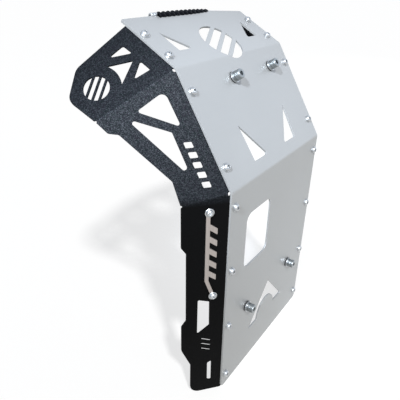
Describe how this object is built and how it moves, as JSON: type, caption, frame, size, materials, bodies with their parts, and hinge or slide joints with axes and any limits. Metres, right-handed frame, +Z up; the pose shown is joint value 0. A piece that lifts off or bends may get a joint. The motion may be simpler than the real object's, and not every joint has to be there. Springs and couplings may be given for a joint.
{
  "type": "motorbike skid plate",
  "caption": "Folded metal skid plate with slotted side plates, for guarding the underside of a motorbike's engine.",
  "frame": {"origin": "midway between the two lower bolts, in the plane where their nuts end behind the front plate", "axes": "+X to the right side plate as seen from the front, +Y to the back, along the lower bolts and towards their free ends, +Z up along the lower facet"},
  "size_m": [0.4246, 0.1919, 0.506],
  "materials": {
    "bare_aluminium": "satin",
    "black_powder_coat": "textured matt",
    "zinc_plated_steel": "bright",
    "brushed_steel": "brushed",
    "black_rubber": "matt"
  },
  "bodies": {
    "root": {"front_plate": "bare_aluminium", "side_plate_left": "black_powder_coat", "side_plate_right": "black_powder_coat", "lower_bolts": "zinc_plated_steel", "lower_spring_washers": "zinc_plated_steel", "lower_flat_washers": "zinc_plated_steel", "lower_rubber_washers": "black_rubber", "lower_nuts": "zinc_plated_steel", "upper_bolts": "zinc_plated_steel", "upper_spring_washers": "zinc_plated_steel", "upper_flat_washers": "zinc_plated_steel", "upper_rubber_washers": "black_rubber", "upper_nuts": "zinc_plated_steel", "edge_screws_left": "zinc_plated_steel", "edge_nuts_left": "zinc_plated_steel", "edge_screws_right": "zinc_plated_steel", "edge_nuts_right": "zinc_plated_steel", "badge_plate": "brushed_steel", "badge_screws": "zinc_plated_steel", "badge_nuts": "zinc_plated_steel", "edge_guard": "black_rubber", "edge_guard_screw": "zinc_plated_steel"}
  },
  "joints": []
}
